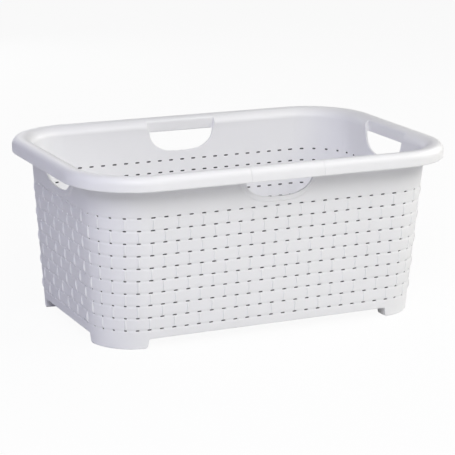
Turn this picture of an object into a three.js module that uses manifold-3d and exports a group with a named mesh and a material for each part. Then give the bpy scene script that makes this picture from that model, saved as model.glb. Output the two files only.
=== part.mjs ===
// An open laundry basket with a rolled rim, four hand openings and four corner feet.
// Millimetres, +Z up, +X along the basket; the origin is on the ground under its centre.
// The real basket is one moulding, so its nodes part along the moulding's own edges.
import * as THREE from "three";
import Module from "manifold-3d";
import { mergeVertices } from "three/addons/utils/BufferGeometryUtils.js";

// Driving dimensions
const rimLength = 600;
const rimWidth = 400;
const basketHeight = 260;
const rimOverhang = 28.5; // from the wall's outer face to the skirt's
const rimCornerRadius = 103;
const baseLength = 514;
const baseWidth = 302;
const baseCornerRadius = 66;
const wallThickness = 2.5;
const fitGap = 0.3; // between nodes that touch
const overcut = 1; // how far a cut runs past a face

// Rim roll
const skirtBottom = 239;
const rollRoot = 246; // the roll leaves the wall here
const shoulderHeight = 248; // the roll's outside meets the skirt here
const crestOffset = 18; // the rim's highest line, out from the wall's outer face
const arcSteps = 5;
const cornerSteps = 8;

// Hand openings, one in the middle of each side
const openingBottom = 209;
const openingShoulder = 238; // above this its sides lean straight out
const openingFlatHalf = 14;
const openingHalfWidth = 54;
const openingLean = 0.3; // how far a side leans out for each millimetre up
const barPanelOffset = 4; // the grip's flat inner face, out from the wall's outer face
const rimCutHalf = 58; // half the gap between two lengths of rim
const surroundWidth = 8;
const surroundThickness = 1.2;
const openingSteps = 6;
const cutterDepth = 60;

// Floor and feet
const floorUnderside = 14;
const floorThickness = 2.5;
const footWidth = 22;
const footTrims = { front: 2, rear: 2, left: 6.5, right: 6.5 }; // how far into the corner's turn a foot begins
const footClearance = 0.45; // between a foot's ends and the floor

const plastic = { color: 0xf1f1f3, roughness: 0.42, metalness: 0 };
const floorPlastic = { color: 0xeeeef0, roughness: 0.5, metalness: 0 };

const sides = {
  front: { angle: -Math.PI / 2, x: 0, y: -1 },
  right: { angle: 0, x: 1, y: 0 },
  rear: { angle: Math.PI / 2, x: 0, y: 1 },
  left: { angle: Math.PI, x: -1, y: 0 },
};
// Each corner lies between two sides, met in this order going round anticlockwise.
const corners = [
  { name: "front_right", before: "front", after: "right", x: 1, y: -1 },
  { name: "rear_right", before: "right", after: "rear", x: 1, y: 1 },
  { name: "rear_left", before: "rear", after: "left", x: -1, y: 1 },
  { name: "front_left", before: "left", after: "front", x: -1, y: -1 },
];

const wasm = await Module();
wasm.setup();
const basket = new THREE.Group();

function addNode(name, geometry, look) {
  geometry.computeVertexNormals();
  const mesh = new THREE.Mesh(geometry, new THREE.MeshStandardMaterial(look));
  mesh.name = name;
  basket.add(mesh);
}

// The wall's outer face at a height: half sizes and corner radius. It is upright above the skirt's edge.
function wallOutline(height) {
  const share = Math.min(height / skirtBottom, 1);
  return {
    halfLength: THREE.MathUtils.lerp(baseLength / 2, rimLength / 2 - rimOverhang, share),
    halfWidth: THREE.MathUtils.lerp(baseWidth / 2, rimWidth / 2 - rimOverhang, share),
    radius: THREE.MathUtils.lerp(baseCornerRadius, rimCornerRadius - rimOverhang, share),
  };
}

// A station is a place round the basket: x and y from -1 to 1 run along the straight sides,
// and angle is the outward way.
function placeAt(station, offset, height) {
  const outline = wallOutline(height);
  const reach = outline.radius + offset;
  return new THREE.Vector3(
    station.x * (outline.halfLength - outline.radius) + reach * Math.cos(station.angle),
    station.y * (outline.halfWidth - outline.radius) + reach * Math.sin(station.angle),
    height,
  );
}

// Half the straight part of a side, at a height.
function flatHalf(sideName, height) {
  const outline = wallOutline(height);
  const half = sides[sideName].x === 0 ? outline.halfLength : outline.halfWidth;
  return half - outline.radius;
}

// A station on a straight side, a distance along from its middle in the anticlockwise direction.
function sideStation(sideName, along, height) {
  const side = sides[sideName];
  const share = along / flatHalf(sideName, height);
  return { angle: side.angle, x: side.x - side.y * share, y: side.y + side.x * share };
}

function cornerStations(corner) {
  const start = sides[corner.before].angle;
  return Array.from({ length: cornerSteps + 1 }, (_, i) => ({
    angle: start + (i / cornerSteps) * (Math.PI / 2),
    x: corner.x,
    y: corner.y,
  }));
}

// The stations from a distance before a corner, round it, to a distance after it.
function aroundCorner(corner, startAlong, endAlong, height) {
  return [
    sideStation(corner.before, startAlong, height),
    ...cornerStations(corner),
    sideStation(corner.after, endAlong, height),
  ];
}

// A closed solid: a section of [offset, height] points, anticlockwise, carried round the stations and capped.
function sweepSection(section, stations) {
  const points = stations.flatMap((s) => section.map(([offset, height]) => placeAt(s, offset, height)));
  const count = section.length;
  const faces = [];
  for (let i = 0; i < stations.length - 1; i += 1) {
    for (let j = 0; j < count; j += 1) {
      const here = i * count + j;
      const next = i * count + ((j + 1) % count);
      faces.push(here, here + count, next + count, here, next + count, next);
    }
  }
  const last = (stations.length - 1) * count;
  const outline = section.map(([offset, height]) => new THREE.Vector2(offset, height));
  for (const [a, b, c] of THREE.ShapeUtils.triangulateShape(outline, [])) {
    faces.push(a, b, c, last + a, last + c, last + b);
  }
  const geometry = new THREE.BufferGeometry().setFromPoints(points);
  geometry.setIndex(faces);
  return geometry;
}

// Points of a quarter ellipse about a centre, from one angle to another, in degrees.
function ellipseArc(centre, radiusOut, radiusUp, startDegrees, endDegrees) {
  return Array.from({ length: arcSteps + 1 }, (_, i) => {
    const angle = THREE.MathUtils.degToRad(THREE.MathUtils.lerp(startDegrees, endDegrees, i / arcSteps));
    return [centre[0] + radiusOut * Math.cos(angle), centre[1] + radiusUp * Math.sin(angle)];
  });
}

// The rim's outside and inside curves, from the skirt over the crest to the wall.
function outerRoll(inset) {
  const rise = basketHeight - inset;
  const outward = rimOverhang - crestOffset - inset;
  const inward = crestOffset + wallThickness - inset;
  return [
    ...ellipseArc([crestOffset, shoulderHeight], outward, rise - shoulderHeight, 0, 90),
    ...ellipseArc([crestOffset, rollRoot], inward, rise - rollRoot, 90, 180).slice(1),
  ];
}

// The rim's section: a skirt, a roll and the top of the wall, one wall thick and open below.
function rimSection() {
  return [
    [rimOverhang, skirtBottom],
    ...outerRoll(0),
    ...outerRoll(wallThickness).reverse(),
    [rimOverhang - wallThickness, skirtBottom],
  ];
}

// The grip's section: the same roll, cut back to a flat panel on its inner side and open below.
function gripSection() {
  const kept = (points, offset) => points.filter((point) => point[0] > offset + wallThickness / 2);
  const panelInside = barPanelOffset + wallThickness;
  const outside = kept(outerRoll(0), barPanelOffset);
  const inside = kept(outerRoll(wallThickness), panelInside);
  return [
    [rimOverhang, skirtBottom],
    ...outside,
    [barPanelOffset, rollHeightAt(barPanelOffset, 0)],
    [barPanelOffset, skirtBottom],
    [panelInside, skirtBottom],
    [panelInside, rollHeightAt(panelInside, wallThickness)],
    ...inside.reverse(),
    [rimOverhang - wallThickness, skirtBottom],
  ];
}

// Height of the roll's inner half at an offset, on its outside (inset 0) or its inside.
function rollHeightAt(offset, inset) {
  const reach = crestOffset + wallThickness - inset;
  const share = (crestOffset - offset) / reach;
  return rollRoot + (basketHeight - inset - rollRoot) * Math.sqrt(1 - share * share);
}

// A wall's section, from the floor's underside to just below the roll.
function wallSection() {
  return [
    [0, floorUnderside],
    [0, rollRoot - fitGap],
    [-wallThickness, rollRoot - fitGap],
    [-wallThickness, floorUnderside],
  ];
}

// The opening's outline in its side's plane, grown by a margin, with the top carried up to a height.
function openingShape(margin, top) {
  const flat = openingFlatHalf;
  const half = openingHalfWidth + margin;
  const bottom = openingBottom - margin;
  const topHalf = half + openingLean * (top - openingShoulder);
  const reach = half - flat;
  const drop = openingShoulder - bottom;
  const shape = new THREE.Shape();
  shape.moveTo(-topHalf, top);
  shape.lineTo(-half, openingShoulder);
  shape.absellipse(-flat, openingShoulder, reach, drop, Math.PI, Math.PI * 1.5, false);
  shape.lineTo(flat, bottom);
  shape.absellipse(flat, openingShoulder, reach, drop, Math.PI * 1.5, Math.PI * 2, false);
  shape.lineTo(topHalf, top);
  return shape;
}

// An opening-shaped block that runs right through a side's wall.
function openingCutter(sideName, margin) {
  const geometry = new THREE.ExtrudeGeometry(openingShape(margin, basketHeight), {
    depth: cutterDepth,
    curveSegments: openingSteps,
    bevelEnabled: false,
  });
  const side = sides[sideName];
  const wall = placeAt(side, 0, openingBottom);
  geometry.translate(0, 0, -cutterDepth / 2);
  geometry.rotateX(Math.PI / 2);
  geometry.rotateZ(side.angle + Math.PI / 2);
  geometry.translate(wall.x, wall.y, 0);
  return geometry;
}

function toSolid(geometry) {
  const bare = geometry.clone();
  bare.deleteAttribute("normal");
  bare.deleteAttribute("uv");
  const merged = mergeVertices(bare, 1e-4);
  return new wasm.Manifold(
    new wasm.Mesh({
      numProp: 3,
      vertProperties: merged.attributes.position.array,
      triVerts: new Uint32Array(merged.index.array),
    }),
  );
}

function toGeometry(solid) {
  const mesh = solid.getMesh();
  const geometry = new THREE.BufferGeometry();
  geometry.setAttribute("position", new THREE.BufferAttribute(mesh.vertProperties, 3));
  geometry.setIndex(new THREE.BufferAttribute(mesh.triVerts, 1));
  return geometry;
}

// A straight wall between two corners, with its hand opening cut down from the top.
function buildWall(sideName) {
  const side = sides[sideName];
  const end = 1 - fitGap / 2 / flatHalf(sideName, 0);
  const stations = [-end, end].map((share) => ({
    angle: side.angle,
    x: side.x - side.y * share,
    y: side.y + side.x * share,
  }));
  const wall = toSolid(sweepSection(wallSection(), stations));
  addNode(sideName + "_wall", toGeometry(wall.subtract(toSolid(openingCutter(sideName, 0)))), plastic);
}

// A low raised band round the sides and bottom of an opening, on the wall's outer face.
function buildSurround(sideName) {
  const slabMargin = 2 * surroundWidth;
  const slabHalf = openingHalfWidth + slabMargin;
  const slabBottom = openingBottom - slabMargin;
  const slabTop = rollRoot - fitGap;
  const outside = fitGap + surroundThickness;
  const band = [
    [fitGap, slabBottom],
    [outside, slabBottom],
    [outside, slabTop],
    [fitGap, slabTop],
  ];
  const stations = [-slabHalf, slabHalf].map((along) => sideStation(sideName, along, skirtBottom));
  const slab = toSolid(sweepSection(band, stations));
  const outer = toSolid(openingCutter(sideName, surroundWidth));
  const inner = toSolid(openingCutter(sideName, 0));
  addNode(sideName + "_opening_surround", toGeometry(slab.intersect(outer).subtract(inner)), plastic);
}

// A tapered corner wall, the quarter turn between two straight walls.
function buildCornerWall(corner) {
  addNode("corner_wall_" + corner.name, sweepSection(wallSection(), cornerStations(corner)), plastic);
}

// A length of rolled rim round a corner, from one hand opening to the next.
function buildRim(corner) {
  const stations = aroundCorner(corner, rimCutHalf, -rimCutHalf, skirtBottom);
  addNode("rim_" + corner.name, sweepSection(rimSection(), stations), plastic);
}

// The grip over a hand opening, which carries the rim's roll and skirt across it.
function buildGrip(sideName) {
  const half = rimCutHalf - fitGap;
  const stations = [-half, half].map((along) => sideStation(sideName, along, skirtBottom));
  addNode(sideName + "_grip", sweepSection(gripSection(), stations), plastic);
}

// A foot's run: the part of a corner's turn left after its trims. A margin shortens it at both ends.
function footStations(corner, margin) {
  const start = sides[corner.before].angle;
  const startTurn = (footTrims[corner.before] + margin) / baseCornerRadius;
  const endTurn = (footTrims[corner.after] + margin) / baseCornerRadius;
  return Array.from({ length: cornerSteps + 1 }, (_, i) => ({
    angle: start + THREE.MathUtils.lerp(startTurn, Math.PI / 2 - endTurn, i / cornerSteps),
    x: corner.x,
    y: corner.y,
  }));
}

// A foot: a trough that carries the corner down to the ground, closed below and open into the basket.
function buildFoot(corner) {
  const top = floorUnderside - fitGap;
  const block = [
    [0, 0],
    [0, top],
    [-footWidth, top],
    [-footWidth, 0],
  ];
  const hollow = [
    [-wallThickness, wallThickness],
    [-wallThickness, top + overcut],
    [wallThickness - footWidth, top + overcut],
    [wallThickness - footWidth, wallThickness],
  ];
  const outside = toSolid(sweepSection(block, footStations(corner, 0)));
  const inside = toSolid(sweepSection(hollow, footStations(corner, wallThickness)));
  addNode("foot_" + corner.name, toGeometry(outside.subtract(inside)), plastic);
}

// The floor: a flat sheet inside the walls, cut back at each corner so that the foot's trough stays open.
function buildFloor() {
  const atWall = -wallThickness - fitGap;
  const atFoot = -footWidth - fitGap;
  const points = corners.flatMap((corner) => {
    const run = footStations(corner, -footClearance);
    const inner = run.map((station) => placeAt(station, atFoot, floorUnderside));
    return [
      placeAt(run[0], atWall, floorUnderside),
      ...inner,
      placeAt(run[run.length - 1], atWall, floorUnderside),
    ];
  });
  const shape = new THREE.Shape(points.map((point) => new THREE.Vector2(point.x, point.y)));
  const geometry = new THREE.ExtrudeGeometry(shape, { depth: floorThickness, bevelEnabled: false });
  geometry.translate(0, 0, floorUnderside);
  addNode("floor_panel", geometry, floorPlastic);
}

for (const sideName of Object.keys(sides)) {
  buildWall(sideName);
  buildSurround(sideName);
  buildGrip(sideName);
}
for (const corner of corners) {
  buildCornerWall(corner);
  buildRim(corner);
  buildFoot(corner);
}
buildFloor();

export default basket;
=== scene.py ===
import math

import bpy
import numpy as np
from mathutils import Matrix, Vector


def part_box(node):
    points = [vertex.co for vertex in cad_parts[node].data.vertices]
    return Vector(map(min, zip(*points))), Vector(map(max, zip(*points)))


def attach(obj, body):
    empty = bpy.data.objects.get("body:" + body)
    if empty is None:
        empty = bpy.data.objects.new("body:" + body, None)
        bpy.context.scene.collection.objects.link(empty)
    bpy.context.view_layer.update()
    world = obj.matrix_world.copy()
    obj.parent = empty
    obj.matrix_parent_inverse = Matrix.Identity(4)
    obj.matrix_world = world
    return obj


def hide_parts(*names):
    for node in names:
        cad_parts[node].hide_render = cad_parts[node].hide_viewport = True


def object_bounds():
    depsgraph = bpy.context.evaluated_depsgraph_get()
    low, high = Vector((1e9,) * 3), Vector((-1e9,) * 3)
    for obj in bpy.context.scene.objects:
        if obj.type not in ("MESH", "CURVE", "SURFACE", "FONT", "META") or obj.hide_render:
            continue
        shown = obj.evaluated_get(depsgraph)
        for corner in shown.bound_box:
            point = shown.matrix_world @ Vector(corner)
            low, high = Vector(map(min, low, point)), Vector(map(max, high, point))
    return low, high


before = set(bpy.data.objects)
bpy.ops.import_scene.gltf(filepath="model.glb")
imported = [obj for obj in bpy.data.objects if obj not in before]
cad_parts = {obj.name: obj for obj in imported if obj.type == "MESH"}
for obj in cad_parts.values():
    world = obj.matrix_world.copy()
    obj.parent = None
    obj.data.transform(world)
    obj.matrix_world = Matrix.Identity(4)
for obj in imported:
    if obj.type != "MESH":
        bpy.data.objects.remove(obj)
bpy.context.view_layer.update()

mm = 0.001

# The basket's main sizes, in millimetres. The outer ones come from the imported parts' bounds.
basket = {
    "halfLength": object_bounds()[1][0] / mm,
    "halfWidth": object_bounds()[1][1] / mm,
    "height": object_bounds()[1][2] / mm,
    "skirtBottom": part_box("front_grip")[0][2] / mm,
    "floorUnderside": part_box("floor_panel")[0][2] / mm,
    "floorTop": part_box("floor_panel")[1][2] / mm,
    "overhang": 28.5,
    "rimCornerRadius": 103.0,
    "baseHalfLength": 257.0,
    "baseHalfWidth": 151.0,
    "baseRadius": 66.0,
    "wall": 2.5,
    "rollRoot": 246.0,       # where the rim's roll leaves the wall
    "shoulder": 248.0,       # where the rim's straight skirt turns into its roll
    "crestOffset": 18.0,     # how far outside the wall's face the roll is highest
}

# The weave: columns of slots round the whole basket, and rows up the wall.
weave = {
    "pitch": 19.22,
    "course": 18.5,
    "firstRow": 28.0,
    "rows": 10,
    "frontColumns": 10,      # columns from the middle of a long side to the start of its corner
    "cornerColumns": 6,
    "endColumns": 4.5,
    "slotHalf": 4.0,
    "slotRise": 1.25,
    "cornerSlotHalf": 2.7,   # slots are shorter on most of a corner and on the short sides
    "slotFade": 2.5,         # over how many of a corner's columns they shorten
    "cornerPull": (0.55, 0.35),      # how far a slot's corner points are pulled in, along and up
    "ribRise": 1.3,          # how far the rib at a tile's end bows out halfway up its course
    "endRibRise": 2.2,       # the same on the short sides
    "ribFlat": 0.57,         # half the width of the rib's flat top
    "ribHalf": 1.25,         # half the width of its root
    "rowDepth": 0.4,
    "rowHalf": 0.8,          # how far a row's groove runs on past the height of its slots
    "crown": 0.12,           # how far a tile stands out in its middle
}
quarter = weave["frontColumns"] + weave["cornerColumns"] + weave["endColumns"]
wholeLoop = 4 * quarter
loopStations = np.linspace(0.0, wholeLoop, 4 * int(wholeLoop) + 1)
topRow = weave["firstRow"] + weave["course"] * (weave["rows"] - 1)


def smooth(low, high, value):
    # 0 below low, 1 above high, an s-curve between
    share = np.clip((value - low) / (high - low), 0.0, 1.0)
    return share * share * (3.0 - 2.0 * share)


def wallOutline(height):
    # the outer face's half sizes and corner radius: they grow evenly with height,
    # then stay as they are, with a soft bend between
    sharpness = 60.0
    share = 1.0 - np.logaddexp(0.0, sharpness * (1.0 - height / basket["skirtBottom"])) / sharpness
    topLength = basket["halfLength"] - basket["overhang"]
    topWidth = basket["halfWidth"] - basket["overhang"]
    topRadius = basket["rimCornerRadius"] - basket["overhang"]
    halfX = basket["baseHalfLength"] + (topLength - basket["baseHalfLength"]) * share
    halfY = basket["baseHalfWidth"] + (topWidth - basket["baseHalfWidth"]) * share
    radius = basket["baseRadius"] + (topRadius - basket["baseRadius"]) * share
    return halfX, halfY, radius


def wallPoint(column, height, offset=0.0):
    # column counts pitches anticlockwise from the middle of the front; straight columns stand upright,
    # and the corner's columns share out the length between the last upright ones. offset is outward.
    given = [np.asarray(value, float) for value in (column, height, offset)]
    column, height, offset = np.broadcast_arrays(*given)
    column = np.mod(column, wholeLoop)
    part = np.floor(column / quarter).astype(int)
    local = column - part * quarter
    local = np.where(part % 2 == 1, quarter - local, local)
    halfX, halfY, radius = wallOutline(height)
    flatX, flatY = halfX - radius, halfY - radius
    startRun = weave["pitch"] * weave["frontColumns"]
    endRun = weave["pitch"] * weave["endColumns"]
    bend = radius * math.pi / 2
    total = flatX + bend + flatY
    share = (local - weave["frontColumns"]) / weave["cornerColumns"]
    roundCorner = startRun + share * (total - startRun - endRun)
    alongEnd = total - (quarter - local) * weave["pitch"]
    run = np.where(
        local <= weave["frontColumns"],
        local * weave["pitch"],
        np.where(share <= 1.0, roundCorner, alongEnd),
    )
    turn = np.clip((run - flatX) / bend, 0.0, 1.0) * math.pi / 2
    alongX = np.minimum(run, flatX)
    alongY = np.maximum(run - flatX - bend, 0.0)
    x = alongX + (radius + offset) * np.sin(turn)
    y = -flatY + alongY - (radius + offset) * np.cos(turn)
    signX = np.where(part >= 2, -1.0, 1.0)
    signY = np.where((part == 1) | (part == 2), -1.0, 1.0)
    return np.stack([x * signX, y * signY, height], axis=-1)


def gridSolid(outer, inner, solid=None):
    # two matching grids of points, faces between them all round, and round every hole in the mask
    nu, nv = outer.shape[:2]
    solid = np.ones((nu - 1, nv - 1), bool) if solid is None else solid
    index = np.arange(nu * nv).reshape(nu, nv)
    far = nu * nv
    padded = np.pad(solid, 1)

    def quads(a, b, c, d, keep):
        return np.stack([a, b, c, d], axis=-1)[keep]

    corner = [index[:-1, :-1], index[1:, :-1], index[1:, 1:], index[:-1, 1:]]
    faces = [
        quads(*corner, solid),
        quads(*(c + far for c in corner[::-1]), solid),
    ]
    before, after = padded[:-1, 1:-1], padded[1:, 1:-1]
    low, high = index[:, :-1], index[:, 1:]
    faces.append(quads(low, low + far, high + far, high, before & ~after))
    faces.append(quads(high, high + far, low + far, low, ~before & after))
    before, after = padded[1:-1, :-1], padded[1:-1, 1:]
    low, high = index[:-1, :], index[1:, :]
    faces.append(quads(low, high, high + far, low + far, before & ~after))
    faces.append(quads(low + far, high + far, high, low, ~before & after))
    points = np.concatenate([outer.reshape(-1, 3), inner.reshape(-1, 3)])
    return points, np.concatenate(faces)


def joinSolids(solids):
    # puts solids together, makes shared points one, and drops the pairs of faces where two solids meet.
    # Points count as shared within a micrometre; the odd shift keeps round sizes off that grid's own edges.
    points = np.concatenate([p for p, _ in solids])
    starts = np.cumsum([0] + [len(p) for p, _ in solids[:-1]])
    faces = np.concatenate([f + s for (_, f), s in zip(solids, starts)])
    key = np.floor(points * 1000.0 + 0.37).astype(np.int64)
    _, first, same = np.unique(key, axis=0, return_index=True, return_inverse=True)
    faces = same.reshape(-1)[faces]
    distinct = (np.diff(np.sort(faces, axis=1), axis=1) > 0).sum(axis=1) + 1
    faces = faces[distinct > 2]
    _, group, count = np.unique(np.sort(faces, axis=1), axis=0, return_inverse=True, return_counts=True)
    return points[first], faces[count[group.reshape(-1)] == 1]


creaseAngle = 42.0


def makePiece(name, solids, material, replaced):
    # a mesh from solids in millimetres, smooth but for its creases, riding on the one body
    points, faces = joinSolids(solids)
    used, faces = np.unique(faces, return_inverse=True)
    faces = faces.reshape(-1, 4)
    mesh = bpy.data.meshes.new(name)
    mesh.vertices.add(len(used))
    mesh.vertices.foreach_set("co", (points[used] * mm).ravel())
    turning = faces != np.roll(faces, -1, axis=1)       # False where a quad's corner is doubled
    whole = turning.all(axis=1)
    loops = np.concatenate([faces[whole].ravel(), faces[~whole][turning[~whole]]])
    sizes = np.concatenate([np.full(whole.sum(), 4), turning[~whole].sum(axis=1)])
    mesh.loops.add(len(loops))
    mesh.loops.foreach_set("vertex_index", loops.astype(np.int32))
    mesh.polygons.add(len(sizes))
    mesh.polygons.foreach_set("loop_start", (np.cumsum(sizes) - sizes).astype(np.int32))
    mesh.update(calc_edges=True)
    mesh.validate()
    mesh.shade_smooth()
    mesh.set_sharp_from_angle(angle=math.radians(creaseAngle))
    mesh.materials.append(material)
    piece = bpy.data.objects.new(name, mesh)
    bpy.context.scene.collection.objects.link(piece)
    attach(piece, "root")
    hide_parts(*replaced)
    print(name, len(mesh.polygons), "faces")


# Materials: one group for the moulded grain, placed in each finish with its own values.
mouldIor = 1.49
bumpDistance = 0.001
cloudGloss = 0.12        # how much the clouds add to the roughness
cloudShade = (0.975, 1.01)
grain = {
    "matt": {"colour": (0.86, 0.86, 0.875), "roughness": 0.46, "fine": 900.0, "depth": 0.05},
    "satin": {"colour": (0.88, 0.88, 0.892), "roughness": 0.36, "fine": 1100.0, "depth": 0.03},
    "floor": {"colour": (0.85, 0.85, 0.865), "roughness": 0.5, "fine": 800.0, "depth": 0.06},
}


def makeGrainGroup():
    # fine grain as a height, and slow clouds that change the shade and the roughness a little
    group = bpy.data.node_groups.new("mouldedGrain", "ShaderNodeTree")
    for title, kind, value in (
        ("Vector", "NodeSocketVector", None),
        ("Colour", "NodeSocketColor", (1, 1, 1, 1)),
        ("Roughness", "NodeSocketFloat", 0.4),
        ("Fine", "NodeSocketFloat", 900.0),
        ("Cloud", "NodeSocketFloat", 14.0),
    ):
        socket = group.interface.new_socket(title, in_out="INPUT", socket_type=kind)
        if value is not None:
            socket.default_value = value
    for title, kind in (
        ("Colour", "NodeSocketColor"),
        ("Roughness", "NodeSocketFloat"),
        ("Height", "NodeSocketFloat"),
    ):
        group.interface.new_socket(title, in_out="OUTPUT", socket_type=kind)
    nodes, links = group.nodes, group.links
    entry = nodes.new("NodeGroupInput")
    exit_ = nodes.new("NodeGroupOutput")
    fine = nodes.new("ShaderNodeTexNoise")
    fine.inputs["Detail"].default_value = 3.0
    cloud = nodes.new("ShaderNodeTexNoise")
    cloud.inputs["Detail"].default_value = 2.0
    links.new(entry.outputs["Vector"], fine.inputs["Vector"])
    links.new(entry.outputs["Fine"], fine.inputs["Scale"])
    links.new(entry.outputs["Vector"], cloud.inputs["Vector"])
    links.new(entry.outputs["Cloud"], cloud.inputs["Scale"])
    shade = nodes.new("ShaderNodeMapRange")
    shade.inputs["To Min"].default_value = cloudShade[0]
    shade.inputs["To Max"].default_value = cloudShade[1]
    links.new(cloud.outputs["Fac"], shade.inputs["Value"])
    tint = nodes.new("ShaderNodeMix")
    tint.data_type = "RGBA"
    tint.blend_type = "MULTIPLY"
    tint.inputs["Factor"].default_value = 1.0
    links.new(entry.outputs["Colour"], tint.inputs["A"])
    links.new(shade.outputs["Result"], tint.inputs["B"])
    links.new(tint.outputs["Result"], exit_.inputs["Colour"])
    gloss = nodes.new("ShaderNodeMath")
    gloss.operation = "MULTIPLY_ADD"
    gloss.inputs[1].default_value = cloudGloss
    links.new(cloud.outputs["Fac"], gloss.inputs[0])
    links.new(entry.outputs["Roughness"], gloss.inputs[2])
    links.new(gloss.outputs["Value"], exit_.inputs["Roughness"])
    links.new(fine.outputs["Fac"], exit_.inputs["Height"])
    return group


def makePlastic(name, finish, group):
    # white moulded plastic; the grain group gives its colour, roughness and bump
    material = bpy.data.materials.new(name)
    material.use_nodes = True
    nodes, links = material.node_tree.nodes, material.node_tree.links
    shader = nodes["Principled BSDF"]
    place = nodes.new("ShaderNodeTexCoord")
    pattern = nodes.new("ShaderNodeGroup")
    pattern.node_tree = group
    pattern.inputs["Colour"].default_value = (*finish["colour"], 1.0)
    pattern.inputs["Roughness"].default_value = finish["roughness"]
    pattern.inputs["Fine"].default_value = finish["fine"]
    bump = nodes.new("ShaderNodeBump")
    bump.inputs["Strength"].default_value = finish["depth"]
    bump.inputs["Distance"].default_value = bumpDistance
    links.new(place.outputs["Object"], pattern.inputs["Vector"])
    links.new(pattern.outputs["Colour"], shader.inputs["Base Color"])
    links.new(pattern.outputs["Roughness"], shader.inputs["Roughness"])
    links.new(pattern.outputs["Height"], bump.inputs["Height"])
    links.new(bump.outputs["Normal"], shader.inputs["Normal"])
    shader.inputs["IOR"].default_value = mouldIor
    return material


grainGroup = makeGrainGroup()
plastic = {name: makePlastic(name + "Plastic", finish, grainGroup) for name, finish in grain.items()}
print("materials made")


# The woven wall. A cell is one column wide and one course high,
# and its grid lines crowd round the slot and the rib.
ribLines = np.array([-0.065, -0.047, -0.029, 0.029, 0.047, 0.065])
besideSlot = 0.055
shoulderLine = 0.37


def fromLongSide(column):
    # how many columns away the middle of the nearest long side is
    local = np.mod(column, 2 * quarter)
    return np.minimum(local, 2 * quarter - local)


def slotHalfAt(column):
    # half a slot's length in pitches: full on the long sides, then shorter round the corner
    cornerStart = weave["frontColumns"]
    shorter = smooth(cornerStart, cornerStart + weave["slotFade"], fromLongSide(column))
    return (weave["slotHalf"] + (weave["cornerSlotHalf"] - weave["slotHalf"]) * shorter) / weave["pitch"]


def columnLines(first, last):
    # grid lines from one half column to another: cell edges, shoulders, slot ends, rib sides and foot ends
    centres = np.arange(math.ceil(first), math.floor(last) + 1)
    half = slotHalfAt(centres)[:, None]
    parts = [
        centres[:, None] - np.array([0.5, shoulderLine]),
        centres[:, None] - half - besideSlot,
        centres[:, None] - half,
        centres[:, None] + ribLines,
        centres[:, None] + half,
        centres[:, None] + half + besideSlot,
        centres[:, None] + shoulderLine,
    ]
    lines = np.append(np.concatenate(parts, axis=1).ravel(), last)
    ends = footEnds()
    lines = np.concatenate([lines, ends[(ends > first) & (ends < last)]])
    return np.unique(np.round(lines, 6))


foot = {
    "width": 22.0,
    "endColumn": 10.05,      # where a foot ends on the long sides, counted in columns
    "endColumnShort": 15.70,         # and on the short sides
    "innerRadius": 3.0,
    "outerRadius": 1.3,      # of the wall's outer face at its bottom edge
    "slant": 0.052,          # how far a foot's end leans outward on its way up, in columns
    "endWall": 0.36,         # from a foot's outermost line to its hollow, in columns
    "gap": 0.3,              # below the floor
    "lift": 0.05,            # of the trough over the wall's bottom edge
    "thinnest": 0.2,         # the trough's least height, before that lift is taken off
    "endRadius": 5.0,
    "fillet": 2.5,
}


def footEnds():
    # columns where the bottom edge turns, at both ends of every foot: fillet, slanted end and round corner
    # counted beyond the foot's end, and negative on the foot
    past = np.array([0.18, 0.13, 0.09, 0.066, foot["slant"], 0.026, 0.0, -0.04, -0.1, -0.18, -0.3])
    oneFoot = np.concatenate([foot["endColumn"] - past, foot["endColumnShort"] + past])
    half = np.concatenate([oneFoot, 2 * quarter - oneFoot])
    return np.sort(np.concatenate([half, half + 2 * quarter]))


def rowLines():
    # heights of the grid lines over the slots' rows, from just under the first to just over the last
    rise, halfCourse = weave["slotRise"], weave["course"] / 2
    around = np.array([-5.9, -3.4, -2.0, -rise, rise, 2.0, 3.4, 5.9, halfCourse])
    rows = weave["firstRow"] + weave["course"] * np.arange(weave["rows"])
    lines = (rows[:, None] + around).ravel()
    return lines[1:-2]


def relief(column, height):
    # flat tiles two columns long and a course high, parted by a shallow groove at each row and by a thin
    # rib at every other column, a column further on in each course; a rib bows out between its two rows
    course = np.floor((height - weave["firstRow"]) / weave["course"])
    inside = (height > weave["firstRow"]) & (height < topRow)
    nearestRow = np.clip(np.round((height - weave["firstRow"]) / weave["course"]), 0, weave["rows"] - 1)
    toRow = np.abs(height - weave["firstRow"] - weave["course"] * nearestRow)
    toRib = np.abs(np.mod(column - course + 1.0, 2.0) - 1.0) * weave["pitch"]
    across = np.clip((toRow - weave["slotRise"]) / (weave["course"] / 2 - weave["slotRise"]), 0.0, 1.0)
    arch = (1.0 - (1.0 - across) ** 2) ** 0.75
    cornerMiddle = weave["frontColumns"] + weave["cornerColumns"] / 2
    endward = smooth(cornerMiddle, weave["frontColumns"] + weave["cornerColumns"], fromLongSide(column))
    rise = weave["ribRise"] + (weave["endRibRise"] - weave["ribRise"]) * endward
    rib = rise * arch * (1.0 - smooth(weave["ribFlat"], weave["ribHalf"], toRib))
    grooveSide = smooth(weave["slotRise"], weave["slotRise"] + weave["rowHalf"], toRow)
    groove = weave["rowDepth"] * (1.0 - grooveSide)
    crown = weave["crown"] * arch * np.sin(np.pi / 2 * toRib / weave["pitch"])
    return np.where(inside, rib + crown, 0.0) - groove


def slotMask(columns, heights):
    # True where a grid cell lies inside a slot
    middleU = (columns[:-1] + columns[1:]) / 2
    middleV = (heights[:-1] + heights[1:]) / 2
    nearest = np.round(middleU)
    inU = np.abs(middleU - nearest) < slotHalfAt(nearest)
    row = np.round((middleV - weave["firstRow"]) / weave["course"])
    inV = np.abs(middleV - weave["firstRow"] - row * weave["course"]) < weave["slotRise"]
    inV &= (row >= 0) & (row < weave["rows"])
    return inU[:, None] & inV[None, :]


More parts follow.
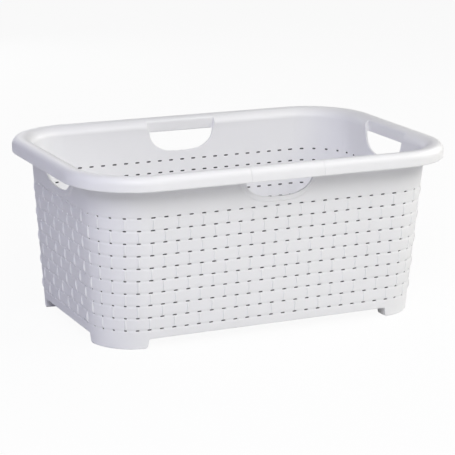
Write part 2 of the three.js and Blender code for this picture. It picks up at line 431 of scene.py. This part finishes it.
def roundSlots(columns, heights):
    # pulls the four corner points of each slot inwards so that its ends are rounded
    u, v = np.meshgrid(columns, heights, indexing="ij")
    nearest = np.round(u)
    side = u - nearest
    row = np.round((v - weave["firstRow"]) / weave["course"])
    lift = v - weave["firstRow"] - row * weave["course"]
    atEnd = np.abs(np.abs(side) - slotHalfAt(nearest)) < 1e-6
    atEdge = (np.abs(np.abs(lift) - weave["slotRise"]) < 1e-6) & (row >= 0) & (row < weave["rows"])
    corner = atEnd & atEdge
    along, up = weave["cornerPull"]
    u = np.where(corner, u - np.sign(side) * along / weave["pitch"], u)
    v = np.where(corner, v - np.sign(lift) * up, v)
    return u, v


def wovenPart(first, last):
    # the slotted part of the wall between two half columns, from the lowest to the highest relief line
    columns, heights = columnLines(first, last), rowLines()
    u, v = roundSlots(columns, heights)
    outer = wallPoint(u, v, relief(u, v))
    inner = wallPoint(u, v, -basket["wall"])
    return gridSolid(outer, inner, ~slotMask(columns, heights))


def bottomEdge(column):
    # the wall's lowest height: the bottom edge, then towards a foot a fillet,
    # the foot's slanted end, its round corner and the ground
    middle = (foot["endColumn"] + foot["endColumnShort"]) / 2
    reach = (foot["endColumnShort"] - foot["endColumn"]) / 2
    past = np.abs(fromLongSide(column) - middle) - reach         # in columns, negative on the foot
    top = basket["floorUnderside"]
    radius, fillet = foot["endRadius"], foot["fillet"]
    within = np.clip(radius + past * weave["pitch"], 0.0, radius)
    rounded = radius - np.sqrt(radius**2 - within**2)
    slanted = radius + (top - fillet - radius) * np.clip(past / foot["slant"], 0.0, 1.0)
    beyond = np.clip((past - foot["slant"]) * weave["pitch"], 0.0, fillet)
    filleted = top - fillet + np.sqrt(fillet**2 - (fillet - beyond) ** 2)
    return np.where(past <= 0.0, rounded, np.where(past <= foot["slant"], slanted, filleted))


def bottomPart(first, last):
    # the plain band below the slots, down to the bottom edge with its outer corner rounded
    columns = columnLines(first, last)
    share = np.array([0.0, 0.02, 0.05, 0.1, 0.2, 0.35, 0.6, 1.0])
    top = rowLines()[0]
    low = bottomEdge(columns)[:, None]
    v = low + (top - low) * share
    u = np.broadcast_to(columns[:, None], v.shape)
    radius = foot["outerRadius"]
    rise = np.clip(v - low, 0.0, radius)
    inset = radius - np.sqrt(radius**2 - (radius - rise) ** 2)
    outer = wallPoint(u, v, -inset)
    inner = wallPoint(u, v, -basket["wall"])
    return gridSolid(outer, inner)


# Heights of the plain band's grid lines, from the last line of the woven part to the root of the roll.
bandLines = np.array([197.9, 201.0, 205.0, 210.0, 216.0, 222.0, 228.0, 233.0, 237.0, 240.0, 243.0, 246.0])


def topPart(first, last):
    # the plain band above the slots, up to the root of the roll
    u, v = np.meshgrid(columnLines(first, last), bandLines, indexing="ij")
    return gridSolid(wallPoint(u, v), wallPoint(u, v, -basket["wall"]))


opening = {
    "bottom": 209.0,
    "shoulder": 238.0,       # where the leaning sides turn into the rounded bottom
    "flatHalf": 14.0,
    "halfWidth": 54.0,
    "lean": 0.3,
    "surround": 8.0,
    "surroundRise": 1.0,
    "edgeRadius": 0.8,
}


def openingOutline(margin):
    # angle and reach, from the middle of the opening's top, of its outline grown by a margin:
    # leaning sides, two quarter ellipses and a flat bottom
    half, bottom, top = opening["halfWidth"] + margin, opening["bottom"] - margin, basket["rollRoot"]
    turn = np.linspace(0.0, math.pi / 2, 60)
    shoulder, flat = opening["shoulder"], opening["flatHalf"]
    side = np.linspace(top, shoulder, 20)[:-1]
    leaning = half + opening["lean"] * (side - shoulder)
    x = np.concatenate([leaning, flat + (half - flat) * np.cos(turn), [0.0]])
    z = np.concatenate([side, shoulder - (shoulder - bottom) * np.sin(turn), [bottom]])
    return np.arctan2(top - z, x), np.hypot(x, top - z)


def windowPart(centre, halfColumns):
    # the plain band round an opening: rays from the middle of its top run from the opening's edge,
    # over the raised surround, to the band's straight outline
    columns = columnLines(centre - halfColumns, centre + halfColumns)
    sideways = (columns - centre) * weave["pitch"]
    reachX = halfColumns * weave["pitch"]
    down = bandLines[::-1]
    x = np.concatenate([np.full(len(down) - 1, -reachX), sideways, np.full(len(down) - 1, reachX)])
    z = np.concatenate([down[:-1], np.full(len(sideways), bandLines[0]), down[::-1][1:]])
    drop = basket["rollRoot"] - z
    angle = np.arctan2(drop, np.abs(x))
    far = np.hypot(x, drop)
    near = np.interp(angle, *openingOutline(0.0))
    middle = np.interp(angle, *openingOutline(opening["surround"]))
    width = opening["surround"]
    # how far from the opening's edge the grid lines over its surround lie
    steps = np.array([0.0, 0.15, 0.4, 0.8, 1.4, 3.0, 5.5, 6.4, 7.0, 7.5, width])
    inside = near[:, None] + (middle - near)[:, None] * steps / width
    outside = middle[:, None] + (far - middle)[:, None] * np.array([0.35, 0.7, 1.0])
    reach = np.concatenate([inside, outside], axis=1)
    share = reach / far[:, None]
    u = centre + share * x[:, None] / weave["pitch"]
    v = basket["rollRoot"] - share * drop[:, None]
    distance = np.concatenate([steps, [width + 1.0, width + 2.0, width + 3.0]])
    edge = opening["edgeRadius"]
    rise = opening["surroundRise"] * (1.0 - smooth(width - 2 * edge, width, distance))
    inset = edge - np.sqrt(edge**2 - (edge - np.minimum(distance, edge)) ** 2)
    outer = wallPoint(u, v, np.broadcast_to(rise - inset, u.shape))
    inner = wallPoint(u, v, np.broadcast_to(-basket["wall"] + inset, u.shape))
    return gridSolid(outer[:, ::-1], inner[:, ::-1])


# In columns: the middle of each side, half its wall's length and half its window's,
# and then the two ends of each corner's wall.
sideRuns = {
    "front": (0.0, 9.5, 4.5),
    "right": (quarter, 4.0, 4.0),
    "rear": (2 * quarter, 9.5, 4.5),
    "left": (3 * quarter, 4.0, 4.0),
}
cornerRuns = {
    "front_right": (9.5, 16.5),
    "rear_right": (24.5, 31.5),
    "rear_left": (50.5, 57.5),
    "front_left": (65.5, 72.5),
}
for side, (centre, half, window) in sideRuns.items():
    first, last = centre - half, centre + half
    solids = [wovenPart(first, last), bottomPart(first, last), windowPart(centre, window)]
    if half > window:
        solids += [topPart(first, centre - window), topPart(centre + window, last)]
    replaced = [side + "_wall", side + "_opening_surround"]
    makePiece(side + "_woven_wall", solids, plastic["matt"], replaced)
for corner, (first, last) in cornerRuns.items():
    solids = [wovenPart(first, last), bottomPart(first, last), topPart(first, last)]
    replaced = ["corner_wall_" + corner]
    makePiece("corner_woven_wall_" + corner, solids, plastic["matt"], replaced)
print("walls made")


def ellipseArc(centre, reachOut, reachUp, start, end, steps):
    # points on an ellipse between two angles in degrees
    angle = np.radians(np.linspace(start, end, steps))
    return np.stack([centre[0] + reachOut * np.cos(angle), centre[1] + reachUp * np.sin(angle)], axis=1)


def rollCurve(inset):
    # the rim's outside (inset 0) or underside, from the skirt's edge over the crest to the wall
    steps = 14
    rise = basket["height"] - inset
    crest = basket["crestOffset"]
    outward = basket["overhang"] - crest - inset
    inward = crest + basket["wall"] - inset
    skirt = np.linspace(basket["skirtBottom"] + basket["wall"] / 2, basket["shoulder"], 5)[:-1]
    return np.concatenate([
        np.stack([np.full(4, basket["overhang"] - inset), skirt], axis=1),
        ellipseArc((crest, basket["shoulder"]), outward, rise - basket["shoulder"], 0, 90, steps)[:-1],
        ellipseArc((crest, basket["rollRoot"]), inward, rise - basket["rollRoot"], 90, 180, steps + 4),
    ])


def skirtEdge():
    # the skirt's lower edge, a half circle from its inside to its outside
    radius = basket["wall"] / 2
    centre = (basket["overhang"] - radius, basket["skirtBottom"] + radius)
    return ellipseArc(centre, radius, radius, 180, 360, 7)[1:-1]


def sectionSolid(outside, underside, columns):
    # a thin section between two matching curves, carried round the loop
    outer = wallPoint(columns[:, None], outside[None, :, 1], outside[None, :, 0])
    inner = wallPoint(columns[:, None], underside[None, :, 1], underside[None, :, 0])
    return gridSolid(outer, inner)


def rimCurves():
    # outside and underside of the rim, matched point for point; they share the skirt's round edge
    edge = skirtEdge()
    outside = np.concatenate([edge[2:], rollCurve(0.0)])
    underside = np.concatenate([edge[2::-1], rollCurve(basket["wall"])])
    return outside, underside


rimCut = 58.0 / weave["pitch"]      # from the middle of a side to the rim's end, in columns
rimStations = 97
outside, underside = rimCurves()
for turnsBefore, corner in enumerate(cornerRuns):
    sideBefore = turnsBefore * quarter
    columns = np.linspace(sideBefore + rimCut, sideBefore + quarter - rimCut, rimStations)
    solids = [sectionSolid(outside, underside, columns)]
    makePiece("rolled_rim_" + corner, solids, plastic["satin"], ["rim_" + corner])
print("rim made")

# The grips: the rim's roll over a hand opening, cut back on its inner side to a flat panel,
# with a web at each end.
grip = {
    "halfLength": 57.7,
    "panel": 4.0,            # how far outside the wall's face the panel stands
    "softCorner": 2.5,
    "webInner": 54.3,        # where a web's inner side starts, from the middle of the opening
    "webDepth": 5.0,         # how far outside the wall's face a web reaches
}


def rollHeight(offset, inset):
    # the roll's height over its inner half at an offset, on its outside (inset 0) or its underside
    reach = basket["crestOffset"] + basket["wall"] - inset
    share = (basket["crestOffset"] - offset) / reach
    return basket["rollRoot"] + (basket["height"] - inset - basket["rollRoot"]) * np.sqrt(1.0 - share**2)


def resample(curve, count):
    # points spaced evenly along a broken line
    travelled = np.append(0.0, np.cumsum(np.hypot(*np.diff(curve, axis=0).T)))
    even = np.linspace(0.0, travelled[-1], count)
    return np.stack([np.interp(even, travelled, curve[:, k]) for k in (0, 1)], axis=1)


def gripCurve(inset, offset, side):
    # the roll as far as the panel, a soft corner, the panel's face, and a quarter circle at its edge
    soft, half = grip["softCorner"], basket["wall"] / 2
    roll = rollCurve(inset)
    lead = np.array([offset + soft, rollHeight(offset + soft, inset)])
    roll = np.concatenate([roll[roll[:, 0] > offset + soft], [lead]])
    top = rollHeight(offset, inset)
    share = np.linspace(0.0, 1.0, 7)[:, None]
    bend = (1 - share) ** 2 * lead + 2 * share * (1 - share) * np.array([offset, top])
    bend = bend + share**2 * np.array([offset, top - soft])
    low = basket["skirtBottom"] + half
    panel = np.stack([np.full(5, offset), np.linspace(top - soft, low, 5)], axis=1)
    turn = np.radians(np.linspace(0.0, 90.0, 5))
    edge = np.stack([offset + side * half * (1 - np.cos(turn)), low - half * np.sin(turn)], axis=1)
    return np.concatenate([resample(roll, 40)[:-1], bend[:-1], panel[:-1], edge])


def webSolid(centre, side):
    # a block from the wall's inside to the panel, between the opening's leaning side and the rim's end
    offset = np.array([-basket["wall"], -1.2, 0.0, 0.3, 1.5, 3.0, grip["webDepth"]])
    low = np.where(offset < 0.15, basket["rollRoot"], basket["skirtBottom"])
    share = np.linspace(0.0, 1.0, 6)
    v = low[:, None] + (rollHeight(offset, 0.0) - low)[:, None] * share
    u = np.broadcast_to(offset[:, None], v.shape)
    near = grip["webInner"] + opening["lean"] * (v - basket["skirtBottom"])
    faces = [np.full(v.shape, grip["halfLength"]) * side, near * side]
    faces.sort(key=lambda face: face.mean())
    return gridSolid(*(wallPoint(centre + face / weave["pitch"], v, u) for face in faces))


edge = skirtEdge()
outside = np.concatenate([edge[2:], gripCurve(0.0, grip["panel"], 1.0)])
panelBack = grip["panel"] + basket["wall"]
underside = np.concatenate([edge[2::-1], gripCurve(basket["wall"], panelBack, -1.0)])
for side, (centre, _, _) in sideRuns.items():
    columns = centre + np.linspace(-grip["halfLength"], grip["halfLength"], 13) / weave["pitch"]
    solids = [sectionSolid(outside, underside, columns), webSolid(centre, -1.0), webSolid(centre, 1.0)]
    makePiece(side + "_hand_grip", solids, plastic["satin"], [side + "_grip"])
print("grips made")


def footSolid(first, last):
    # a trough one wall thick under a corner: its underside follows the bottom edge, its inner edge is
    # rounded, and its lining stands up to the floor at the ends and on the inner side
    ends = footEnds()
    ends = ends[(ends > first) & (ends < last)]
    middle, reach = (ends[0] + ends[-1]) / 2, (ends[-1] - ends[0]) / 2
    between = np.linspace(middle - 2.3, middle + 2.3, 19)
    rounding = ends[0] + np.array([0.2, 0.22])      # finer lines where a foot's end is round
    lines = np.concatenate([ends, between, rounding, 2 * middle - rounding])
    columns = np.unique(np.round(lines, 6))
    wall, top = basket["wall"], basket["floorUnderside"] - foot["gap"]
    inward = np.array([1.2, wall - 0.1, wall + 0.3, 6.0, 12.0, 18.0])
    inward = np.append(inward, foot["width"] - np.array([3.1, 2.5, 2.1, 1.4, 0.7, 0.3, 0.0]))
    u, offset = np.meshgrid(columns, inward, indexing="ij")
    radius = foot["innerRadius"]
    within = np.clip(offset - (foot["width"] - radius), 0.0, radius)
    low = bottomEdge(u) + radius - np.sqrt(radius**2 - within**2)
    low = np.minimum(low, top - foot["thinnest"]) + foot["lift"]
    past = np.abs(u - middle) - reach
    hollow = (past < -foot["endWall"]) & (offset > wall) & (offset < foot["width"] - wall)
    high = np.where(hollow, wall, top)
    return gridSolid(wallPoint(u, low, -offset)[:, ::-1], wallPoint(u, high, -offset)[:, ::-1])


for corner, (first, last) in cornerRuns.items():
    solids = [footSolid(first, last)]
    makePiece("corner_foot_" + corner, solids, plastic["matt"], ["foot_" + corner])
print("feet made")

floorShape = {
    "gap": 0.3,
    "edgeRadius": 0.8,
    "beads": (0.80, 0.86),   # raised beads, as shares of the way out from the floor's middle line
    "beadHalf": 0.006,
    "beadRise": 0.6,
    "middleHalf": 105.0,     # half that line's length
    "edgeStart": 0.994,      # the share at which the rounded edge begins
}


def floorPlate():
    # a flat plate: rings shrink from its outline, stepped in over the feet, to a line along its middle
    columns = np.unique(np.round(np.concatenate([loopStations, footEnds()]), 6))
    local = fromLongSide(columns)
    footStart, footEnd = foot["endColumn"] - foot["slant"], foot["endColumnShort"] + foot["slant"]
    overFoot = (local > footStart) & (local < footEnd)
    edge = np.where(overFoot, foot["width"], basket["wall"]) + floorShape["gap"]
    outline = wallPoint(columns, basket["floorTop"], -edge)[:, :2]
    middleX = np.clip(outline[:, 0], -floorShape["middleHalf"], floorShape["middleHalf"])
    middleLine = np.stack([middleX, outline[:, 1] * 0.0], axis=1)
    across = np.array([-1.0, -0.5, 0.0, 0.5, 1.0]) * floorShape["beadHalf"]
    bead = np.concatenate([b + across for b in floorShape["beads"]])
    rings = [1.0, 0.998, floorShape["edgeStart"], 0.985, 0.95, 0.9, 0.7, 0.5, 0.3, 0.1, 0.0]
    share = np.append(rings, bead)
    share = np.sort(share)[::-1]
    place = middleLine[:, None] + (outline - middleLine)[:, None] * share[:, None]
    height = np.zeros_like(share)
    for b in floorShape["beads"]:
        away = (share - b) / floorShape["beadHalf"]
        height += floorShape["beadRise"] * np.clip(1.0 - away**2, 0.0, 1.0)
    drop = floorShape["beadRise"] + floorShape["edgeRadius"] * smooth(floorShape["edgeStart"], 1.0, share)
    height = np.broadcast_to(basket["floorTop"] - drop + height, place.shape[:2])
    top = np.concatenate([place, height[..., None]], axis=2)
    low = np.concatenate([place, np.full(place.shape[:2] + (1,), basket["floorUnderside"])], axis=2)
    return gridSolid(top, low)


makePiece("moulded_floor", [floorPlate()], plastic["floor"], ["floor_panel"])
print("floor made")

camera = {
    "target": (0.0, 0.0, 0.130),
    "azimuth": -25.71,
    "elevation": 14.34,
    "roll": 0.71,
    "distance": 2.763,
    "lens": 144.45,
    "sensor": 36.0,
    "shift": (0.0018, -0.0117),
    "clipEnd": 50.0,
}


def facing(azimuth, elevation):
    # the way from the basket to a camera or light, and its right and up. Azimuth counts from the front
    # towards the right, both angles in degrees.
    azimuth, elevation = math.radians(azimuth), math.radians(elevation)
    level = math.cos(elevation)
    back = np.array([math.sin(azimuth) * level, -math.cos(azimuth) * level, math.sin(elevation)])
    right = np.array([math.cos(azimuth), math.sin(azimuth), 0.0])
    return back, right, np.cross(back, right)


def placeCamera():
    # the camera looks at its target from its distance, turned a little about its own line of sight
    back, right, up = facing(camera["azimuth"], camera["elevation"])
    roll = math.radians(camera["roll"])
    across = right * math.cos(roll) + up * math.sin(roll)
    upward = -right * math.sin(roll) + up * math.cos(roll)
    data = bpy.data.cameras.new("camera")
    data.lens = camera["lens"]
    data.sensor_width = camera["sensor"]
    data.shift_x, data.shift_y = camera["shift"]
    data.clip_end = camera["clipEnd"]
    viewer = bpy.data.objects.new("camera", data)
    place = np.array(camera["target"]) + back * camera["distance"]
    matrix = np.eye(4)
    matrix[:3, 0], matrix[:3, 1], matrix[:3, 2], matrix[:3, 3] = across, upward, back, place
    viewer.matrix_world = Matrix(matrix.tolist())
    bpy.context.scene.collection.objects.link(viewer)
    bpy.context.scene.camera = viewer


placeCamera()

# Studio: a pale floor, six big soft lights round the basket and a white backdrop.
studio = {
    "floorSize": 30.0,
    "floorColour": (0.8, 0.8, 0.8),
    "floorRoughness": 0.9,
    "distance": 2.6,
    "size": 1.6,
    "aimHeight": 0.15,
    "lights": {              # azimuth, elevation, and watts of red, green and blue
        "frontLight": (-16.0, 38.0, (30.6, 30.6, 29.6)),
        "frontLeftLight": (-50.0, 40.0, (9.6, 9.6, 12.4)),
        "frontRightLight": (50.0, 40.0, (22.6, 22.4, 21.0)),
        "leftLight": (-95.0, 25.0, (7.6, 7.5, 9.8)),
        "rightLight": (95.0, 25.0, (27.0, 26.8, 26.6)),
        "rearLight": (180.0, 16.0, (12.0, 12.0, 12.0)),
    },
    "ambient": (0.03, 0.03, 0.032),
    "backdrop": 1.0,
    "floorWhite": 0.94,      # how much of the floor that the camera sees is plain white
    # the card of painted shade in the slots: its depth, its heights and its dark colour
    "shadeDepth": 2.2,       # behind the wall's outer face
    "shadeHeights": (20.0, 110.0, 200.0),
    "shade": (0.09, 0.09, 0.095),
}


def makeFloor():
    # a big square, lit as pale card, but nearly plain white to the camera so that only a faint shadow shows
    half = studio["floorSize"] / 2
    mesh = bpy.data.meshes.new("floor")
    outline = [(-half, -half, 0), (half, -half, 0), (half, half, 0), (-half, half, 0)]
    mesh.from_pydata(outline, [], [(0, 1, 2, 3)])
    floor = bpy.data.objects.new("studio_floor", mesh)
    bpy.context.scene.collection.objects.link(floor)
    material = bpy.data.materials.new("studioFloor")
    material.use_nodes = True
    shader = material.node_tree.nodes["Principled BSDF"]
    nodes, links = material.node_tree.nodes, material.node_tree.links
    shader.inputs["Base Color"].default_value = (*studio["floorColour"], 1.0)
    shader.inputs["Roughness"].default_value = studio["floorRoughness"]
    shader.inputs["Specular IOR Level"].default_value = 0.0
    white = nodes.new("ShaderNodeEmission")
    white.inputs["Strength"].default_value = studio["backdrop"]
    path = nodes.new("ShaderNodeLightPath")
    share = nodes.new("ShaderNodeMath")
    share.operation = "MULTIPLY"
    share.inputs[1].default_value = studio["floorWhite"]
    mix = nodes.new("ShaderNodeMixShader")
    links.new(path.outputs["Is Camera Ray"], share.inputs[0])
    links.new(share.outputs["Value"], mix.inputs["Fac"])
    links.new(shader.outputs["BSDF"], mix.inputs[1])
    links.new(white.outputs["Emission"], mix.inputs[2])
    links.new(mix.outputs["Shader"], nodes["Material Output"].inputs["Surface"])
    mesh.materials.append(material)


def makeSlotShade():
    # painted shade: a dark card inside the wall's thickness, seen by the camera only,
    # so that the slots read as dark, shaded holes instead of showing the white backdrop
    u, v = np.meshgrid(loopStations, studio["shadeHeights"], indexing="ij")
    points = wallPoint(u, v, -studio["shadeDepth"])
    index = np.arange(u.size).reshape(u.shape)
    corners = [index[:-1, :-1], index[:-1, 1:], index[1:, 1:], index[1:, :-1]]
    quads = np.stack(corners, axis=-1).reshape(-1, 4)
    mesh = bpy.data.meshes.new("slotShade")
    mesh.from_pydata((points.reshape(-1, 3) * mm).tolist(), [], quads.tolist())
    card = bpy.data.objects.new("studio_slot_shade", mesh)
    bpy.context.scene.collection.objects.link(card)
    for ray in ("diffuse", "glossy", "transmission", "volume_scatter", "shadow"):
        setattr(card, "visible_" + ray, False)
    material = bpy.data.materials.new("slotShade")
    material.use_nodes = True
    nodes, links = material.node_tree.nodes, material.node_tree.links
    nodes.clear()
    # a flat dark emission, painted shade for the holes
    dark = nodes.new("ShaderNodeEmission")
    dark.inputs["Color"].default_value = (*studio["shade"], 1.0)
    output = nodes.new("ShaderNodeOutputMaterial")
    links.new(dark.outputs["Emission"], output.inputs["Surface"])
    mesh.materials.append(material)


def makeLight(name, azimuth, elevation, power):
    # a round soft light that faces the basket
    back, right, up = facing(azimuth, elevation)
    data = bpy.data.lights.new(name, "AREA")
    data.shape = "DISK"
    data.size = studio["size"]
    data.energy = max(power)
    data.color = [channel / max(power) for channel in power]
    lamp = bpy.data.objects.new(name, data)
    matrix = np.eye(4)
    matrix[:3, 0], matrix[:3, 1], matrix[:3, 2] = right, up, back
    matrix[:3, 3] = back * studio["distance"] + np.array([0.0, 0.0, studio["aimHeight"]])
    lamp.matrix_world = Matrix(matrix.tolist())
    bpy.context.scene.collection.objects.link(lamp)


def makeWorld():
    # the camera sees a white backdrop, and the basket is lit by a much dimmer, slightly cool surround
    world = bpy.data.worlds.new("studio")
    bpy.context.scene.world = world
    world.use_nodes = True
    nodes, links = world.node_tree.nodes, world.node_tree.links
    nodes.clear()
    seen = nodes.new("ShaderNodeBackground")
    seen.inputs["Color"].default_value = (1.0, 1.0, 1.0, 1.0)
    seen.inputs["Strength"].default_value = studio["backdrop"]
    lit = nodes.new("ShaderNodeBackground")
    lit.inputs["Color"].default_value = (*studio["ambient"], 1.0)
    path = nodes.new("ShaderNodeLightPath")
    mix = nodes.new("ShaderNodeMixShader")
    output = nodes.new("ShaderNodeOutputWorld")
    links.new(path.outputs["Is Camera Ray"], mix.inputs["Fac"])
    links.new(lit.outputs["Background"], mix.inputs[1])
    links.new(seen.outputs["Background"], mix.inputs[2])
    links.new(mix.outputs["Shader"], output.inputs["Surface"])


makeFloor()
makeSlotShade()
for name, light in studio["lights"].items():
    makeLight(name, *light)
makeWorld()
bpy.context.scene.view_settings.view_transform = "Standard"
print("studio made")
